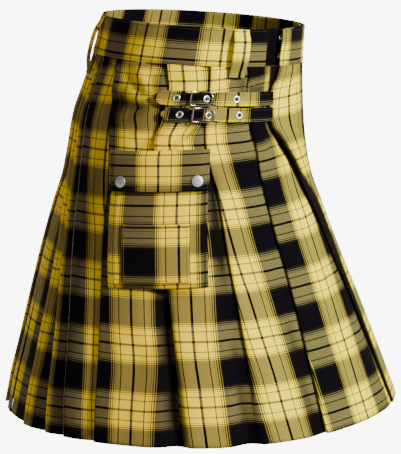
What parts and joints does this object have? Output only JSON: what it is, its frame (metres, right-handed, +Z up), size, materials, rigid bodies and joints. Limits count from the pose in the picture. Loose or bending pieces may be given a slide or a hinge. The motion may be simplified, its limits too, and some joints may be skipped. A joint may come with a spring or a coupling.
{
  "type": "utility kilt",
  "caption": "Pleated knee-length utility kilt in checked twill, with a wrapped front apron, hip straps with buckles, cargo pockets and belt loops, filled out as worn",
  "frame": {"origin": "middle of the waist opening, half way down the waistband at its side, where the wearer's waist holds the kilt up", "axes": "+Z up, wearer faces -Y, wearer's right is -X"},
  "size_m": [0.5738, 0.5539, 0.564],
  "materials": {
    "kilt_cloth": "matt twill",
    "buckle_metal": "bright plated",
    "snap_metal": "satin pewter"
  },
  "bodies": {
    "root": {"skirt_right": "kilt_cloth", "skirt_left": "kilt_cloth", "apron_front": "kilt_cloth", "under_apron": "kilt_cloth", "waistband": "kilt_cloth", "apron_band": "kilt_cloth", "belt_loop_right": "kilt_cloth", "belt_loop_back": "kilt_cloth", "belt_loop_left": "kilt_cloth", "pocket_body_right": "kilt_cloth", "pocket_body_left": "kilt_cloth", "pocket_patch_right": "kilt_cloth", "pocket_patch_left": "kilt_cloth", "pocket_flap_right": "kilt_cloth", "pocket_flap_left": "kilt_cloth", "pocket_snap_back_right": "snap_metal", "pocket_snap_back_left": "snap_metal", "pocket_snap_front_right": "snap_metal", "pocket_snap_front_left": "snap_metal", "waist_snap_upper": "snap_metal", "waist_snap_lower": "snap_metal", "strap_upper_right": "kilt_cloth", "eyelet_upper_1_right": "buckle_metal", "eyelet_upper_2_right": "buckle_metal", "eyelet_upper_3_right": "buckle_metal", "buckle_upper_right": "buckle_metal", "prong_upper_right": "buckle_metal", "buckle_tab_upper_right": "kilt_cloth", "strap_upper_left": "kilt_cloth", "eyelet_upper_1_left": "buckle_metal", "eyelet_upper_2_left": "buckle_metal", "eyelet_upper_3_left": "buckle_metal", "buckle_upper_left": "buckle_metal", "prong_upper_left": "buckle_metal", "buckle_tab_upper_left": "kilt_cloth", "strap_lower_right": "kilt_cloth", "eyelet_lower_1_right": "buckle_metal", "eyelet_lower_2_right": "buckle_metal", "eyelet_lower_3_right": "buckle_metal", "buckle_lower_right": "buckle_metal", "prong_lower_right": "buckle_metal", "buckle_tab_lower_right": "kilt_cloth", "strap_lower_left": "kilt_cloth", "eyelet_lower_1_left": "buckle_metal", "eyelet_lower_2_left": "buckle_metal", "eyelet_lower_3_left": "buckle_metal", "buckle_lower_left": "buckle_metal", "prong_lower_left": "buckle_metal", "buckle_tab_lower_left": "kilt_cloth"}
  },
  "joints": []
}
